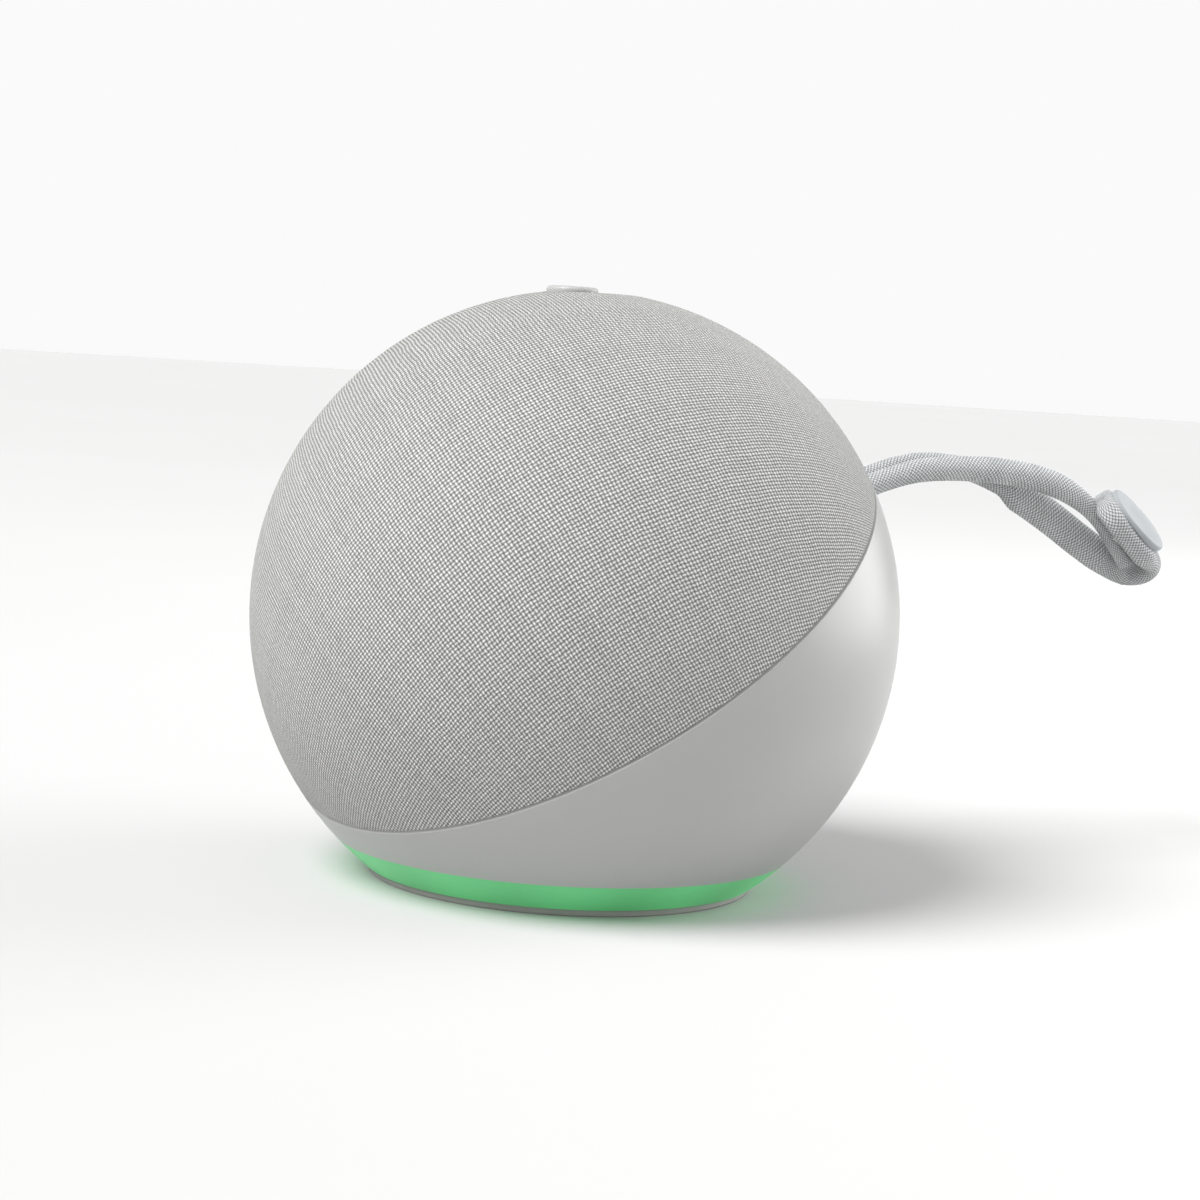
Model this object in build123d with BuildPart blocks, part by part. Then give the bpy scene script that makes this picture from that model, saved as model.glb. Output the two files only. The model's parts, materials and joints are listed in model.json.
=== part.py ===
from build123d import *
import math
import os

os.makedirs("parts", exist_ok=True)

# A small ball-shaped portable smart speaker with a carrying strap. Millimetres.
# The origin is at the middle of the foot's underside: +Z up, -Y the front that
# the driver fires towards, +Y the back where the strap leaves.

# Driving dimensions. Heights and depths called w run along the driver's axis, and the
# other heights are above or below the ball's centre.
ball_radius = 50.0
centre_height = 40.8
crown_height = 49.55  # the crown is cut flat here
seam_tilt = 36.4  # lean of the plane between fabric and plastic
fabric_edge = -1.1  # w of the fabric's edge
seam_gap = 0.2
wall = 2.4
fabric_thickness = 0.8
grille_thickness = 1.8
ring_top = -35.3
ring_bottom = -39.7
base_top = -37.7
foot_radius = 29.8
foot_bore = 17.5
base_ball = 47.3  # the base plate's rim lies on this radius
deck_thickness = 3.0
deck_radius = 46.9
driver_radius = 26.0
magnet_radius = 12.5
coil_radius = 6.5
button_radius = 3.95
button_y = -4.0
button_travel = 0.6
port_height = -12.0
port_width = 14.4
port_tall = 7.6
strap_diameter = 4.2
strap_lean = 20.0  # the legs leave the back rising at this angle
board_thickness = 1.6
small_board = 1.2
screw_radius = 1.2
fit_gap = 0.05  # round a screw or the strap's bar
play = 0.4  # round a part that moves

# Planes and points worked out from them
centre = Vector(0, 0, centre_height)
lean = math.radians(seam_tilt)
seam_normal = Vector(0, -math.sin(lean), math.cos(lean))
level = Plane(origin=centre)
tilted = Plane(origin=centre, x_dir=(1, 0, 0), z_dir=seam_normal)
tilted_section = Plane(
    origin=centre, x_dir=(1, 0, 0), z_dir=(0, -math.cos(lean), -math.sin(lean))
)
driver_axis = Axis(centre, seam_normal)
port_plane = Plane(
    origin=centre + Vector(0, 38.0, port_height), x_dir=(-1, 0, 0), z_dir=(0, 1, 0)
)
button_plane = Plane(origin=centre + Vector(0, button_y, 0))
deck_top = fabric_edge - seam_gap
deck_bottom = deck_top - deck_thickness
screw_hole = screw_radius + fit_gap


def flattened_ball(radius, top):
    """A ball about the centre with its crown cut flat."""
    with BuildPart() as ball:
        with Locations(centre):
            Sphere(radius)
        split(bisect_by=level.offset(top), keep=Keep.BOTTOM)
    return ball.part


def ball_slice(radius, low, high, hollow=0):
    """The stretch of a ball between two heights, with a hollow of another radius."""
    with BuildPart() as ball:
        with Locations(centre):
            Sphere(radius)
            if hollow:
                Sphere(hollow, mode=Mode.SUBTRACT)
        split(bisect_by=level.offset(high), keep=Keep.BOTTOM)
        split(bisect_by=level.offset(low), keep=Keep.TOP)
    return ball.part


def screws(places, plane, head, head_height, length):
    """Pan-head screws standing in a plane, their heads on its upper side."""
    with BuildPart() as group:
        with BuildSketch(plane):
            with Locations(*places):
                Circle(head)
        extrude(amount=head_height)
        with BuildSketch(plane):
            with Locations(*places):
                Circle(screw_radius)
        extrude(amount=-length)
    return group.part


def polar(radius, angles):
    """Points on a circle, at angles in degrees."""
    return [
        (radius * math.cos(math.radians(a)), radius * math.sin(math.radians(a)))
        for a in angles
    ]


def port_patch(width, tall, outer, inner, corner):
    """A rectangular patch of a hollow ball's wall, at the charging port."""
    with BuildPart() as patch:
        with Locations(centre):
            Sphere(outer)
            Sphere(inner, mode=Mode.SUBTRACT)
        with BuildSketch(port_plane):
            RectangleRounded(width, tall, corner)
        extrude(amount=20, mode=Mode.INTERSECT)
    return patch.part


def rim_edge(edges):
    """The outermost edge of the shell where it meets the fabric."""
    rim = edges.filter_by_position(driver_axis, deck_top - 0.01, deck_top + 0.01)
    return rim.sort_by(SortBy.LENGTH)[-1]


def write(piece, name):
    """Label a finished piece and write its file."""
    piece.label = name
    export_step(piece, f"parts/{name}.step")


# Fabric cover: a stretched woven skin over the grille, with a hole at the button
button_hole = button_radius + play
with BuildPart() as fabric_cover:
    add(flattened_ball(ball_radius, crown_height))
    add(
        flattened_ball(ball_radius - fabric_thickness, crown_height - fabric_thickness),
        mode=Mode.SUBTRACT,
    )
    split(bisect_by=tilted.offset(fabric_edge), keep=Keep.TOP)
    with BuildSketch(button_plane):
        Circle(button_hole)
    extrude(amount=ball_radius, mode=Mode.SUBTRACT)
write(fabric_cover.part, "fabric_cover")

# Grille dome: a perforated moulding that carries the fabric and the top board
grille_outer = ball_radius - fabric_thickness - 0.1
grille_inner = grille_outer - grille_thickness
top_board_height = 42.0
top_board_radius = 15.0
post_places = polar(12.0, (90, 210, 330))
grille_hole_radius = 1.9
grille_rows = ((14, 7), (27, 13), (40, 18), (53, 22), (66, 25))
crown_direction = Vector(0, 0, 1)
with BuildPart() as grille_dome:
    add(flattened_ball(grille_outer, crown_height - fabric_thickness - 0.1))
    add(flattened_ball(grille_inner, crown_height - fabric_thickness - 2.0), mode=Mode.SUBTRACT)
    split(bisect_by=tilted.offset(fabric_edge), keep=Keep.TOP)
    with BuildSketch(button_plane.offset(top_board_height + small_board)):
        with Locations(*post_places):
            Circle(2.4)
    extrude(until=Until.NEXT)
    with BuildSketch(button_plane):
        Circle(button_hole)
    extrude(amount=ball_radius, mode=Mode.SUBTRACT)
    with BuildSketch(button_plane.offset(top_board_height)):
        with Locations(*post_places):
            Circle(screw_hole)
    extrude(amount=3.6, mode=Mode.SUBTRACT)
    for polar_angle, count in grille_rows:
        for step in range(count):
            out = (
                Vector(0, 0, 1)
                .rotate(Axis.Y, polar_angle)
                .rotate(Axis.Z, 360 * step / count + polar_angle)
                .rotate(Axis.X, seam_tilt)
            )
            if out.get_angle(crown_direction) > 25:
                with BuildSketch(Plane(origin=centre + out * (grille_inner - 2), z_dir=out)):
                    Circle(grille_hole_radius)
                extrude(amount=6, mode=Mode.SUBTRACT)
write(grille_dome.part, "grille_dome")

# Lower shell: the plain plastic back and underside, with everything moulded inside it.
# The strap turns on a bar across a round-bottomed slot in its back.
strap_pin = centre + Vector(0, 44.0, 17.6)
slot_radius = 5.2
slot_half_width = 5.3
slot_wall = 1.8
pin_radius = 1.2
pin_length = 15.0
across = Plane(origin=strap_pin, x_dir=(0, 1, 0), z_dir=(1, 0, 0))
deck_screw_circle = 40.0
deck_screw_places = polar(deck_screw_circle, (45, 135, 225, 315))
boss_radius = 3.0
deck_boss_length = 11.0
base_screw_circle = 21.5
base_screw_angles = (55, 125, 235, 305)
base_screw_places = polar(base_screw_circle, base_screw_angles)
base_boss_top = -29.2
board_y = 28.0
board_back = Plane(
    origin=centre + Vector(0, board_y + board_thickness, 0), x_dir=(-1, 0, 0), z_dir=(0, 1, 0)
)
board_screw_places = [(20, -20), (-20, -20), (20, 5), (-20, 5)]
flap_thickness = 1.2
port_depth = flap_thickness + 0.25
flap_pivot = centre + Vector(0, 47.3, port_height - port_tall / 2 + play)
flap_bead = 0.25
socket_width = 8.9
socket_tall = 3.2
usb_board_bottom = port_height - socket_tall / 2 - small_board
usb_screw_places = [(-5.6, 35.8), (5.6, 35.8)]

with BuildPart() as shell_fittings:
    # Bosses under the deck, each with a rib out to the wall
    with BuildSketch(tilted.offset(deck_bottom)):
        with PolarLocations(deck_screw_circle, 4, start_angle=45):
            Circle(boss_radius)
            with Locations((6, 0)):
                Rectangle(12, 2.2)
    extrude(amount=-deck_boss_length)
    # Bosses over the base plate, with ribs
    with BuildSketch(level.offset(ring_top + 0.1)):
        for angle in base_screw_angles:
            with PolarLocations(base_screw_circle, 1, start_angle=angle):
                Circle(boss_radius)
                with Locations((8, 0)):
                    Rectangle(16, 2.0)
    extrude(amount=base_boss_top - ring_top)
    # Posts that carry the main board
    with BuildSketch(board_back):
        with Locations(*board_screw_places):
            Circle(2.4)
    extrude(amount=20)
    # Shelf for the charging socket's board
    with BuildSketch(level.offset(usb_board_bottom)):
        with Locations((0, 40.5)):
            Rectangle(18, 13)
    extrude(amount=-2.5)
    # Housing of the strap slot
    with BuildSketch(across):
        Circle(slot_radius + slot_wall)
    extrude(amount=slot_half_width + 3.4, both=True)
    with Locations(centre):
        Sphere(ball_radius - wall / 2, mode=Mode.INTERSECT)

with BuildPart() as lower_shell:
    with Locations(centre):
        Sphere(ball_radius)
        Sphere(ball_radius - wall, mode=Mode.SUBTRACT)
    split(bisect_by=tilted.offset(deck_top), keep=Keep.BOTTOM)
    split(bisect_by=level.offset(ring_top), keep=Keep.TOP)
    add(shell_fittings.part)
    # Slot for the strap and the holes of its bar
    with BuildSketch(across):
        Circle(slot_radius)
    extrude(amount=slot_half_width, both=True, mode=Mode.SUBTRACT)
    with BuildSketch(across):
        Circle(pin_radius + 0.02)
    extrude(amount=pin_length / 2, both=True, mode=Mode.SUBTRACT)
    # Screw holes
    with BuildSketch(tilted.offset(deck_bottom)):
        with Locations(*deck_screw_places):
            Circle(screw_hole)
    extrude(amount=-8.5, mode=Mode.SUBTRACT)
    with BuildSketch(level.offset(ring_top)):
        with Locations(*base_screw_places):
            Circle(screw_hole)
    extrude(amount=5.2, mode=Mode.SUBTRACT)
    with BuildSketch(board_back):
        with Locations(*board_screw_places):
            Circle(screw_hole)
    extrude(amount=6.0, mode=Mode.SUBTRACT)
    with BuildSketch(level.offset(usb_board_bottom)):
        with Locations(*usb_screw_places):
            Circle(screw_hole)
    extrude(amount=-2.3, mode=Mode.SUBTRACT)
    # Recess of the port flap, and the way through to the socket
    recess = port_patch(port_width, port_tall, ball_radius + 2, ball_radius - port_depth, 2.0)
    add(recess, mode=Mode.SUBTRACT)
    with BuildSketch(port_plane):
        RectangleRounded(socket_width + 2 * play, socket_tall + 2 * play, 1.8)
    extrude(amount=20, mode=Mode.SUBTRACT)
    chamfer(rim_edge(lower_shell.edges()), 0.35)
write(lower_shell.part, "lower_shell")

# Port flap: a rubber cover flush with the shell, with a thin pad that enters the opening
flap_width = port_width - 2 * play
flap_tall = port_tall - 2 * play
with BuildPart() as port_flap:
    add(port_patch(flap_width, flap_tall, ball_radius, ball_radius - flap_thickness, 1.6))
    with BuildSketch(port_plane.offset(8.6)):
        RectangleRounded(socket_width - play, socket_tall - play, 1.2)
    extrude(amount=1.2)
    # Bead along the lower edge, on which the flap turns
    with BuildSketch(Plane(origin=flap_pivot, x_dir=(0, 1, 0), z_dir=(1, 0, 0))):
        Circle(flap_bead)
    extrude(amount=flap_width / 2 - 1.6, both=True)
write(port_flap.part, "port_flap")

# Seam gasket: the ring between the deck and the shell
with BuildPart() as seam_gasket:
    with BuildSketch(tilted.offset(deck_top - 2.2)):
        Circle(deck_radius + 0.42)
        Circle(deck_radius, mode=Mode.SUBTRACT)
    extrude(amount=1.4)
write(seam_gasket.part, "seam_gasket")

# Speaker deck: the tilted plate that carries the driver, with a lip inside the grille
lip_radius = grille_inner - 0.12
lip_top = 1.6
lip_width = 1.8
deck_bore = driver_radius - 4.6
driver_screw_places = polar(driver_radius - 2.0, (0, 90, 180, 270))
with BuildPart() as speaker_deck:
    with BuildSketch(tilted_section):
        with BuildLine():
            Polyline(
                (deck_bore, deck_top),
                (lip_radius - lip_width, deck_top),
                (lip_radius - lip_width, lip_top),
                (lip_radius, lip_top),
                (lip_radius, deck_top),
                (deck_radius, deck_top),
                (deck_radius, deck_bottom),
                (deck_bore, deck_bottom),
                close=True,
            )
        make_face()
    revolve(axis=driver_axis)
    with BuildSketch(tilted.offset(deck_bottom)):
        with Locations(*deck_screw_places):
            Circle(screw_hole)
        with Locations(*driver_screw_places):
            Circle(screw_hole)
    extrude(amount=deck_thickness, mode=Mode.SUBTRACT)
write(speaker_deck.part, "speaker_deck")
write(screws(deck_screw_places, tilted.offset(deck_top), 2.3, 1.5, 11.0), "deck_screws")

# Driver: basket, magnet circuit, and the cone with all that moves with it
flange_thickness = 1.2
flange_top = deck_top + flange_thickness
plate_top = -11.4
magnet_top = plate_top - 2.0
magnet_bottom = magnet_top - 6.0
yoke_bottom = magnet_bottom - 2.0
pole_radius = coil_radius - 1.0
basket_throat = 11.6
with BuildPart() as driver_basket:
    with BuildSketch(tilted_section):
        with BuildLine():
            Polyline(
                (driver_radius - 6.2, flange_top),
                (driver_radius, flange_top),
                (driver_radius, deck_top),
                (driver_radius - 4.8, deck_top),
                (driver_radius - 5.8, deck_top - 5.0),
                (magnet_radius + 2.0, plate_top),
                (basket_throat, plate_top),
                (basket_throat, plate_top + 1.0),
                (magnet_radius + 1.4, plate_top + 1.0),
                (driver_radius - 7.0, deck_top - 4.8),
                close=True,
            )
        make_face()
    revolve(axis=driver_axis)
    # Windows between the arms of the basket
    with BuildSketch(tilted_section.offset(-driver_radius)):
        with Locations((0, deck_top - 6.0)):
            Rectangle(11.0, 4.4)
    window = extrude(amount=2 * driver_radius, mode=Mode.PRIVATE)
    for turn in (0, 60, 120):
        add(window.rotate(driver_axis, turn + 30), mode=Mode.SUBTRACT)
    with BuildSketch(tilted.offset(deck_top)):
        with Locations(*driver_screw_places):
            Circle(screw_hole)
    extrude(amount=flange_thickness, mode=Mode.SUBTRACT)
write(driver_basket.part, "driver_basket")
write(screws(driver_screw_places, tilted.offset(flange_top), 2.0, 1.0, 4.0), "driver_screws")

with BuildPart() as magnet_top_plate:
    with BuildSketch(tilted.offset(plate_top)):
        Circle(magnet_radius)
        Circle(coil_radius + 0.9, mode=Mode.SUBTRACT)
    extrude(amount=-2.0)
write(magnet_top_plate.part, "magnet_top_plate")

with BuildPart() as driver_magnet:
    with BuildSketch(tilted.offset(magnet_top)):
        Circle(magnet_radius + 0.8)
        Circle(coil_radius + 1.6, mode=Mode.SUBTRACT)
    extrude(amount=magnet_bottom - magnet_top)
write(driver_magnet.part, "driver_magnet")

with BuildPart() as magnet_yoke:
    with BuildSketch(tilted.offset(magnet_bottom)):
        Circle(magnet_radius)
    extrude(amount=yoke_bottom - magnet_bottom)
    with BuildSketch(tilted.offset(magnet_bottom)):
        Circle(pole_radius)
    extrude(amount=plate_top - magnet_bottom)
write(magnet_yoke.part, "magnet_yoke")

cone_rim = 18.6
cone_top = flange_top + 0.5
cone_foot = -7.6
with BuildPart() as driver_cone:
    with BuildSketch(tilted_section):
        with BuildLine():
            Polyline(
                (coil_radius + 0.45, cone_foot),
                (cone_rim - 0.6, cone_top),
                (cone_rim, cone_top),
                (cone_rim, cone_top - 0.6),
                (coil_radius + 0.9, cone_foot - 0.6),
                (coil_radius + 0.45, cone_foot - 0.6),
                close=True,
            )
        make_face()
    revolve(axis=driver_axis)
write(driver_cone.part, "driver_cone")

with BuildPart() as voice_coil:
    with BuildSketch(tilted.offset(cone_foot)):
        Circle(coil_radius + 0.4)
        Circle(coil_radius - 0.3, mode=Mode.SUBTRACT)
    extrude(amount=plate_top - 3.6 - cone_foot)
write(voice_coil.part, "voice_coil")

cap_radius = 8.8
with BuildPart() as dust_cap:
    with Locations(centre + seam_normal * (cone_foot + 3.2 - cap_radius)):
        Sphere(cap_radius)
        Sphere(cap_radius - 0.5, mode=Mode.SUBTRACT)
    split(bisect_by=tilted.offset(cone_foot + 0.05), keep=Keep.TOP)
write(dust_cap.part, "dust_cap")

roll_middle = cone_rim + 1.65
with BuildPart() as driver_surround:
    with BuildSketch(tilted_section):
        with BuildLine():
            Polyline(
                (roll_middle - 1.1, cone_top),
                (roll_middle - 1.1, flange_top),
                (roll_middle - 1.6, flange_top),
                (roll_middle - 1.6, cone_top),
            )
            ThreePointArc(
                (roll_middle - 1.6, cone_top),
                (roll_middle, cone_top + 1.6),
                (roll_middle + 1.6, cone_top),
            )
            Polyline(
                (roll_middle + 1.6, cone_top),
                (roll_middle + 1.6, flange_top),
                (roll_middle + 1.1, flange_top),
                (roll_middle + 1.1, cone_top),
            )
            ThreePointArc(
                (roll_middle + 1.1, cone_top),
                (roll_middle, cone_top + 1.1),
                (roll_middle - 1.1, cone_top),
            )
        make_face()
    revolve(axis=driver_axis)
write(driver_surround.part, "driver_surround")

# The spider lies just over the basket's ledge, clear of the cone's foot at its lowest
spider_top = plate_top + 1.6
with BuildPart() as driver_spider:
    with BuildSketch(tilted.offset(spider_top)):
        Circle(magnet_radius + 0.6)
        Circle(coil_radius + 0.45, mode=Mode.SUBTRACT)
    extrude(amount=-0.5)
write(driver_spider.part, "driver_spider")

# Battery: a flat pack strapped into a tray that stands on the base plate
battery_size = (47.0, 25.0, 8.2)
tray_floor = -35.0
tray_thickness = 1.0
with BuildPart() as battery_tray:
    with BuildSketch(level.offset(tray_floor)):
        RectangleRounded(50, 28, 3)
    extrude(amount=tray_thickness)
    with BuildSketch(level.offset(tray_floor + tray_thickness)):
        RectangleRounded(50, 28, 3)
        RectangleRounded(47.6, 25.6, 2, mode=Mode.SUBTRACT)
    extrude(amount=3.0)
    with BuildSketch(level.offset(base_top)):
        with GridLocations(30, 16, 2, 2):
            Circle(2.5)
    extrude(amount=tray_floor - base_top)
write(battery_tray.part, "battery_tray")

with BuildPart() as battery_pack:
    with BuildSketch(level.offset(tray_floor + tray_thickness)):
        RectangleRounded(battery_size[0], battery_size[1], 2)
    extrude(amount=battery_size[2])
    fillet(battery_pack.faces().sort_by(Axis.Z)[-1].edges(), 1.2)
write(battery_pack.part, "battery_pack")

# Main board, upright behind the driver
with BuildPart() as main_board:
    with BuildSketch(board_back):
        with Locations((0, -7)):
            RectangleRounded(48, 33, 2)
        with Locations(*board_screw_places):
            Circle(screw_hole, mode=Mode.SUBTRACT)
    extrude(amount=-board_thickness)
write(main_board.part, "main_board")
board_front = Plane(origin=centre + Vector(0, board_y, 0), x_dir=(1, 0, 0), z_dir=(0, -1, 0))
write(screws(board_screw_places, board_front, 2.2, 1.4, 6.5), "main_board_screws")

with BuildPart() as shield_cans:
    with BuildSketch(board_front):
        with Locations((-9, -8)):
            RectangleRounded(16, 12, 1)
        with Locations((10, -3)):
            RectangleRounded(13, 13, 1)
        with Locations((9, -17)):
            RectangleRounded(12, 8, 1)
    extrude(amount=2.0)
write(shield_cans.part, "shield_cans")

# Charging socket on its own small board
with BuildPart() as usb_board:
    with BuildSketch(level.offset(usb_board_bottom)):
        with Locations((0, 37.2)):
            RectangleRounded(15, 13.6, 1)
        with Locations(*usb_screw_places):
            Circle(screw_hole, mode=Mode.SUBTRACT)
    extrude(amount=small_board)
write(usb_board.part, "usb_board")
usb_board_top = level.offset(usb_board_bottom + small_board)
write(screws(usb_screw_places, usb_board_top, 2.0, 1.2, 3.2), "usb_board_screws")

with BuildPart() as usb_socket:
    with BuildSketch(port_plane):
        RectangleRounded(socket_width, socket_tall, 1.5)
    extrude(amount=7.3)
    with BuildSketch(port_plane.offset(1.0)):
        RectangleRounded(socket_width - 0.6, socket_tall - 0.6, 1.25)
    extrude(amount=6.3, mode=Mode.SUBTRACT)
    with BuildSketch(port_plane):
        Rectangle(6.6, 0.7)
    extrude(amount=6.0)
write(usb_socket.part, "usb_socket")

# Top button with the switch and microphones on the board under the crown
with BuildPart() as top_board:
    with BuildSketch(button_plane.offset(top_board_height)):
        Circle(top_board_radius)
        with Locations(*post_places):
            Circle(screw_hole, mode=Mode.SUBTRACT)
    extrude(amount=small_board)
write(top_board.part, "top_board")

# The plunger stops just short of the pressed button
button_top = 50.35
flange_underside = 45.4
switch_body = 1.2
plunger = flange_underside - button_travel - 0.05 - top_board_height - small_board - switch_body
with BuildPart() as button_switch:
    with BuildSketch(button_plane.offset(top_board_height + small_board)):
        RectangleRounded(4.5, 4.5, 0.4)
    extrude(amount=switch_body)
    with BuildSketch(button_plane.offset(top_board_height + small_board + switch_body)):
        Circle(1.1)
    extrude(amount=plunger)
write(button_switch.part, "button_switch")

with BuildPart() as microphones:
    with BuildSketch(button_plane.offset(top_board_height + small_board)):
        with PolarLocations(10.5, 3, start_angle=30):
            RectangleRounded(3.5, 2.7, 0.3)
    extrude(amount=1.0)
write(microphones.part, "microphones")

below_board = Plane(
    origin=centre + Vector(0, button_y, top_board_height), x_dir=(1, 0, 0), z_dir=(0, 0, -1)
)
turned_places = [(x, -y) for x, y in post_places]
write(screws(turned_places, below_board, 2.0, 1.2, 3.2), "top_board_screws")

with BuildPart() as top_button:
    with BuildSketch(button_plane.offset(flange_underside)):
        Circle(button_radius)
    extrude(amount=button_top - flange_underside)
    fillet(top_button.edges().sort_by(Axis.Z)[-1], 0.6)
    with BuildSketch(button_plane.offset(flange_underside)):
        Circle(button_radius + 1.0)
    extrude(amount=0.8)
write(top_button.part, "top_button")

with BuildPart() as button_seal:
    with BuildSketch(button_plane.offset(flange_underside - 0.6)):
        Circle(button_radius + 3.0)
        Circle(button_radius + 1.3, mode=Mode.SUBTRACT)
    extrude(amount=1.0)
write(button_seal.part, "button_seal")

# Light ring and the board of emitters behind it
light_ring = ball_slice(ball_radius, ring_bottom, ring_top, hollow=base_ball + 0.1)
write(light_ring, "light_ring")

with BuildPart() as led_board:
    with BuildSketch(level.offset(base_top)):
        Circle(28.2)
        Circle(24.4, mode=Mode.SUBTRACT)
    extrude(amount=small_board)
write(led_board.part, "led_board")

with BuildPart() as led_emitters:
    with BuildSketch(level.offset(base_top + small_board)):
        with PolarLocations(26.9, 12):
            RectangleRounded(1.6, 2.0, 0.2)
    extrude(amount=0.9)
write(led_emitters.part, "led_emitters")

# Base plate, its screws, and the rubber foot that hides them
head_recess = 1.0
with BuildPart() as base_plate:
    add(ball_slice(base_ball, ring_bottom, base_top))
    with BuildSketch(level.offset(base_top)):
        with Locations(*base_screw_places):
            Circle(2.6)
    extrude(amount=ring_top - base_top)
    with BuildSketch(level.offset(ring_bottom)):
        with Locations(*base_screw_places):
            Circle(screw_hole)
    extrude(amount=ring_top - ring_bottom, mode=Mode.SUBTRACT)
    with BuildSketch(level.offset(ring_bottom)):
        with Locations(*base_screw_places):
            Circle(2.3)
    extrude(amount=head_recess, mode=Mode.SUBTRACT)
write(base_plate.part, "base_plate")

below_base = Plane(
    origin=centre + Vector(0, 0, ring_bottom + head_recess), x_dir=(1, 0, 0), z_dir=(0, 0, -1)
)
base_turned = [(x, -y) for x, y in base_screw_places]
write(screws(base_turned, below_base, 2.2, 0.9, 8.2), "base_screws")

with BuildPart() as foot_ring:
    with BuildSketch(level.offset(ring_bottom)):
        Circle(foot_radius)
        Circle(foot_bore, mode=Mode.SUBTRACT)
    extrude(amount=-centre_height - ring_bottom)
    fillet(foot_ring.edges().group_by(Axis.Z)[0], 0.25)
write(foot_ring.part, "foot_ring")

# Carrying strap: a moulded lug turning on a steel bar, two cored woven legs, and a tab
# that folds over the tip and is held by a snap
with BuildPart() as strap_bar:
    with BuildSketch(across):
        Circle(pin_radius)
    extrude(amount=pin_length / 2, both=True)
write(strap_bar.part, "strap_bar")

rise = math.radians(strap_lean)
strap_out = Vector(0, math.cos(rise), math.sin(rise))
strap_across = Plane(origin=strap_pin, x_dir=(1, 0, 0), z_dir=strap_out)
lug_reach = 8.0
with BuildPart() as strap_lug:
    with BuildSketch(across):
        Circle(2.6)
    extrude(amount=4.9, both=True)
    with BuildSketch(strap_across):
        RectangleRounded(9.0, 2.8, 1.0)
    extrude(amount=lug_reach - 3.0)
    with BuildSketch(strap_across.offset(lug_reach - 4.6)):
        RectangleRounded(9.4, 4.8, 2.2)
    extrude(amount=4.6)
    with BuildSketch(across):
        Circle(pin_radius + fit_gap)
    extrude(amount=6.0, both=True, mode=Mode.SUBTRACT)
write(strap_lug.part, "strap_lug")


def strap_leg(route, diameter, name):
    """A round tube of straight runs joined by arcs, as large as the runs allow."""
    points = [centre + Vector(point) for point in route]
    runs = [b - a for a, b in zip(points, points[1:])]
    radii = []
    for one, two in zip(runs, runs[1:]):
        half_turn = math.radians(one.get_angle(two)) / 2
        radii.append(0.45 * min(one.length, two.length) / math.tan(half_turn))
    with BuildPart() as leg:
        with BuildLine():
            path = FilletPolyline(*points, radius=radii)
        with BuildSketch(Plane(origin=points[0], z_dir=runs[0])):
            Circle(diameter / 2)
        sweep()
    section = math.pi * diameter**2 / 4
    print(name, "radii", [round(radius, 1) for radius in radii], "length", round(path.length, 1))
    print(name, "volume over section times length", round(leg.part.volume / section / path.length, 4))
    return leg.part


# Routes from the ball's centre, from the lug to the tip
upper_route = [
    (2.3, 51.52, 20.34),
    (2.3, 60.0, 23.4),
    (2.3, 69.5, 24.9),
    (2.4, 84.0, 24.9),
    (2.4, 96.5, 23.0),
    (2.4, 105.2, 18.9),
    (2.4, 110.8, 13.4),
    (2.4, 113.5, 10.4),
]
lower_route = [
    (-2.3, 51.52, 20.34),
    (-2.3, 60.2, 23.5),
    (-2.3, 69.0, 25.6),
    (-2.4, 79.5, 25.2),
    (-2.4, 89.5, 22.4),
    (-2.4, 99.0, 18.1),
    (-2.4, 108.5, 13.3),
    (-2.2, 115.4, 8.7),
    (-0.9, 118.9, 6.7),
]
write(strap_leg(upper_route, strap_diameter, "strap_upper"), "strap_upper")
write(strap_leg(lower_route, strap_diameter + 0.2, "strap_lower"), "strap_lower")

tab_middle = centre + Vector(4.3, 112.5, 15.6)
tab_fall = math.radians(39.2)
tab_roll = math.radians(37.0)
tab_along = Vector(0, math.cos(tab_fall), -math.sin(tab_fall))
tab_face = (
    Vector(1, 0, 0) * math.sin(tab_roll)
    + Vector(0, math.sin(tab_fall), math.cos(tab_fall)) * math.cos(tab_roll)
)
tab_plane = Plane(origin=tab_middle, x_dir=tab_along, z_dir=tab_face)
tab_length = 16.5
tab_width = 9.6
tab_thickness = 3.0
with BuildPart() as strap_tab:
    with BuildSketch(tab_plane.offset(-tab_thickness / 2)):
        SlotOverall(tab_length, tab_width)
    extrude(amount=tab_thickness)
    fillet(strap_tab.edges(), 1.2)
    with Locations(centre + Vector(1.9, 118.7, 8.8)):
        Sphere(3.5)
    with BuildSketch(tab_plane.offset(-tab_thickness / 2)):
        Circle(1.5)
    extrude(amount=tab_thickness, mode=Mode.SUBTRACT)
write(strap_tab.part, "strap_tab")

cap_thickness = 1.1
with BuildPart() as snap_cap:
    with BuildSketch(tab_plane.offset(tab_thickness / 2)):
        SlotOverall(14.5, 8.4)
    extrude(amount=cap_thickness)
    fillet(snap_cap.faces().sort_by(Axis(tab_middle, tab_face))[-1].edges(), 0.5)
    with Locations(tab_middle + tab_face * (tab_thickness / 2 + 0.5 + 12.0)):
        Sphere(12.0, mode=Mode.SUBTRACT)
write(snap_cap.part, "snap_cap")

with BuildPart() as snap_stud:
    with BuildSketch(tab_plane.offset(tab_thickness / 2)):
        Circle(1.45)
    extrude(amount=-tab_thickness - 1.4)
write(snap_stud.part, "snap_stud")
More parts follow.
